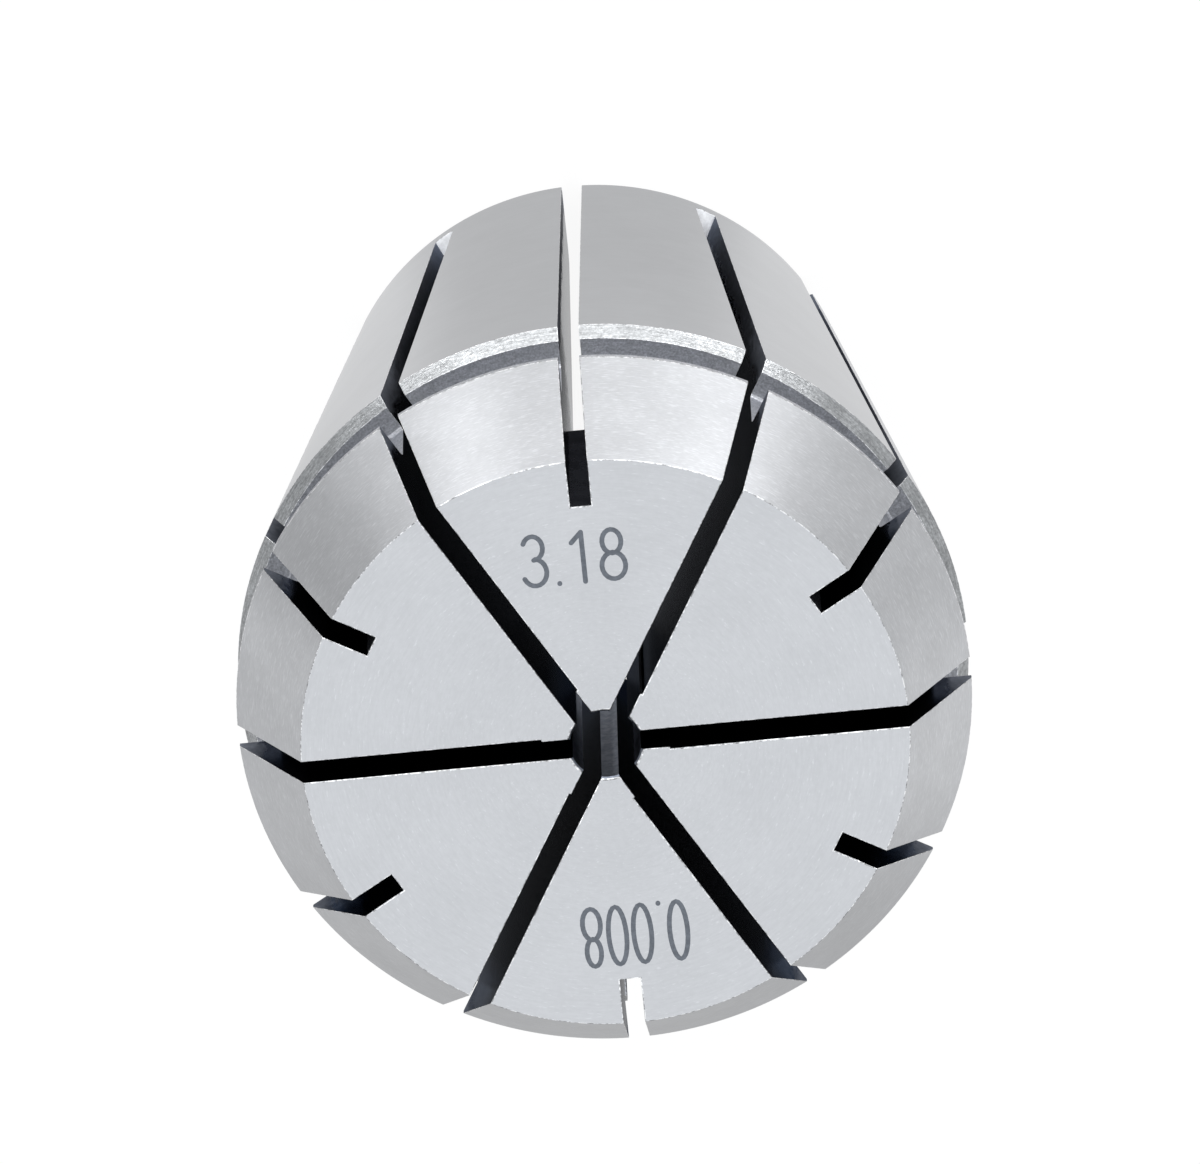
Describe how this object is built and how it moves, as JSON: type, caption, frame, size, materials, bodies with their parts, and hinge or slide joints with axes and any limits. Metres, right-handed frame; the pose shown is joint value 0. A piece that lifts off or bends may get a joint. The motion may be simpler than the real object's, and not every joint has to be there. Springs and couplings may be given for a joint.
{
  "type": "er collet",
  "caption": "Slotted double-taper steel spring collet that closes evenly on a small round tool shank when a nut presses it into a tapered seat.",
  "frame": {"origin": "centre of the small rear end face, which the collet stands on", "axes": "+Z along the axis from the rear end to the nose face; +X through the middle of one front slot"},
  "size_m": [0.033, 0.033, 0.04],
  "materials": {
    "ground_steel": "hardened spring steel, ground on the face and tapers, turned in the groove, sawn in the slots"
  },
  "bodies": {
    "root": {"collet_body": "ground_steel"}
  },
  "joints": []
}
